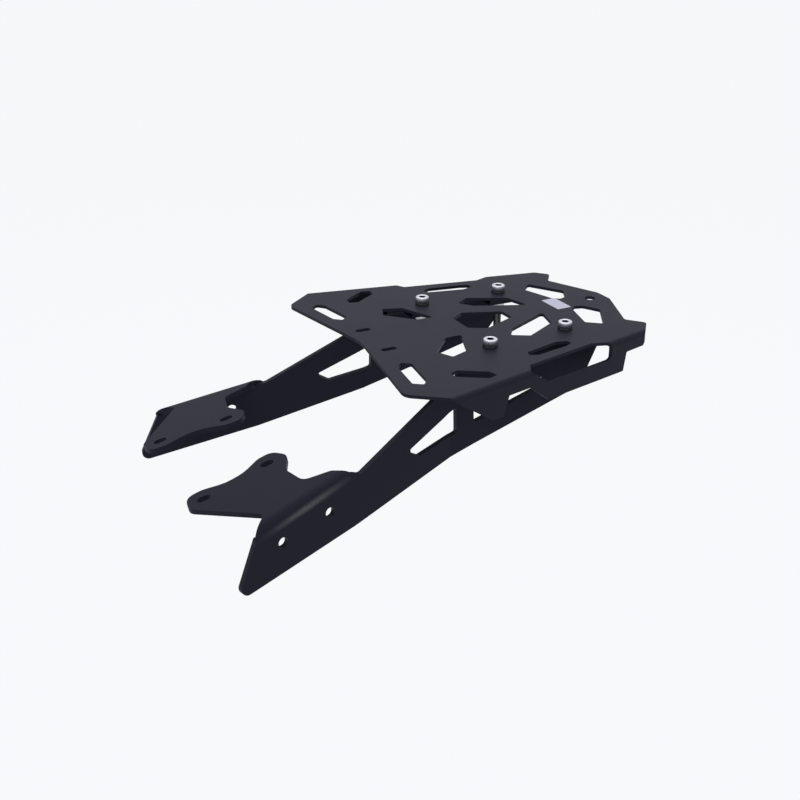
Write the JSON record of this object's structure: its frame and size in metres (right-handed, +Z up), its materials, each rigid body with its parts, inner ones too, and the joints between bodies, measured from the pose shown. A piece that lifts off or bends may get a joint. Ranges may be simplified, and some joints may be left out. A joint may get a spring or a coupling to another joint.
{
  "type": "motorcycle luggage rack",
  "caption": "Flat folded sheet-metal top plate with strap openings, bolted with socket head screws on two splayed, folded side brackets whose inward ears bolt to the motorcycle.",
  "frame": {"origin": "midway between the four slots in the inward ears of the brackets, at the mean height of the slots' centres on the ears' top faces", "axes": "+X points to the front of the motorcycle, +Y to its left and +Z up, square to the top plate; the XZ plane is the plane of symmetry"},
  "size_m": [0.4546, 0.2898, 0.1438],
  "materials": {
    "black_coat": "satin black powder coat on folded steel sheet, with a faint grain",
    "bright_steel": "bright machined steel",
    "dark_steel": "dark blackened spring steel",
    "zinc_steel": "plain zinc-plated steel"
  },
  "bodies": {
    "root": {"top_plate": "black_coat", "left_bracket": "black_coat", "right_bracket": "black_coat", "screw_front_left": "bright_steel", "screw_front_right": "bright_steel", "screw_rear_left": "bright_steel", "screw_rear_right": "bright_steel", "washer_front_left": "dark_steel", "washer_front_right": "dark_steel", "washer_rear_left": "dark_steel", "washer_rear_right": "dark_steel", "nut_front_left": "zinc_steel", "nut_front_right": "zinc_steel", "nut_rear_left": "zinc_steel", "nut_rear_right": "zinc_steel"}
  },
  "joints": []
}
